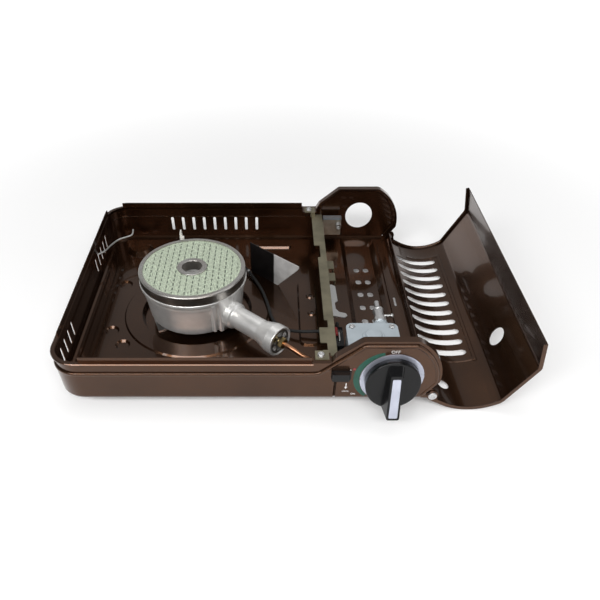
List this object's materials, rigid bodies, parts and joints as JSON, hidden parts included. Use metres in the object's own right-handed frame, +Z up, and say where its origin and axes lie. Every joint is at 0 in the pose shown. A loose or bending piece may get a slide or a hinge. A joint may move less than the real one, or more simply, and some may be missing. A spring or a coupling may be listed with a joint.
{
  "type": "portable gas cartridge stove",
  "caption": "Portable single-burner gas stove without its pan support, with a round ceramic burner, a turning knob and an open hinged lid over the cartridge bay.",
  "frame": {"origin": "centre of the whole footprint, on the surface that the feet stand on", "axes": "+X towards the open lid, +Y towards the back, +Z up; the knob faces -Y"},
  "size_m": [0.4294, 0.3082, 0.081],
  "materials": {
    "brown_steel": "metallic brown enamel, satin",
    "olive_steel": "passivated steel sheet, olive tint",
    "bright_steel": "bright zinc-plated steel",
    "screw_steel": "nickel-plated steel",
    "ring_steel": "heat-tinted stainless steel",
    "cast_aluminium": "die-cast, matt",
    "zinc": "die-cast, satin",
    "silver": "thin bright foil",
    "brass": "machined",
    "copper": "drawn copper pipe",
    "ceramic": "pale green porous ceramic",
    "porcelain": "glazed white",
    "fibre": "ceramic fibre",
    "rubber": "matt black",
    "black_rubber": "silicone sleeve",
    "black_plastic": "satin black"
  },
  "bodies": {
    "chassis": {"body_shell": "brown_steel", "front_panel": "brown_steel", "back_panel": "brown_steel", "feet": "rubber", "divider_plate": "olive_steel", "divider_screws": "screw_steel", "burner_bowl": "cast_aluminium", "clamp_ring": "ring_steel", "ceramic_plaque": "ceramic", "plaque_gasket": "fibre", "centre_bush": "ring_steel", "burner_bracket": "bright_steel", "rear_bracket": "bright_steel", "air_shutter": "bright_steel", "gas_nozzle": "brass", "gas_pipe": "copper", "spark_electrode": "porcelain", "ignition_cable": "black_rubber", "cable_clip": "bright_steel", "igniter_body": "black_plastic", "regulator_body": "zinc", "regulator_cover": "zinc", "cover_screws": "screw_steel", "diaphragm": "rubber", "inlet_spigot": "screw_steel", "inlet_seal": "rubber", "guide_pin": "bright_steel", "heat_plate": "bright_steel", "corner_wire": "bright_steel", "dial_ring": "silver", "hinge_screws": "screw_steel"},
    "lid": {"lid": "brown_steel"},
    "knob": {"knob": "black_plastic", "knob_strip": "silver", "valve_spindle": "brass"},
    "lever": {"lever_knob": "black_plastic", "lever_slider": "bright_steel"},
    "pusher": {"pusher_link": "bright_steel", "pusher_plate": "bright_steel"}
  },
  "joints": [
    {"name": "lid_hinge", "type": "hinge", "parent": "chassis", "child": "lid", "pos_m": [0.12687, 0.01373, 0.0189], "axis": [0, 1, 0], "range_deg": [-117.5, 0]},
    {"name": "knob_turn", "type": "hinge", "parent": "chassis", "child": "knob", "pos_m": [0.08657, -0.12477, 0.0405], "axis": [0, -1, 0], "range_deg": [0, 110]},
    {"name": "lever_slide", "type": "slide", "parent": "chassis", "child": "lever", "axis": [0, 0, -1], "range_m": [0, 0.012]},
    {"name": "pusher_slide", "type": "slide", "parent": "chassis", "child": "pusher", "axis": [0, -1, 0], "range_m": [0, 0.008]}
  ],
  "couplings": [
    {"joint": "pusher_slide", "follows": "lever_slide", "ratio": 0.66667}
  ]
}
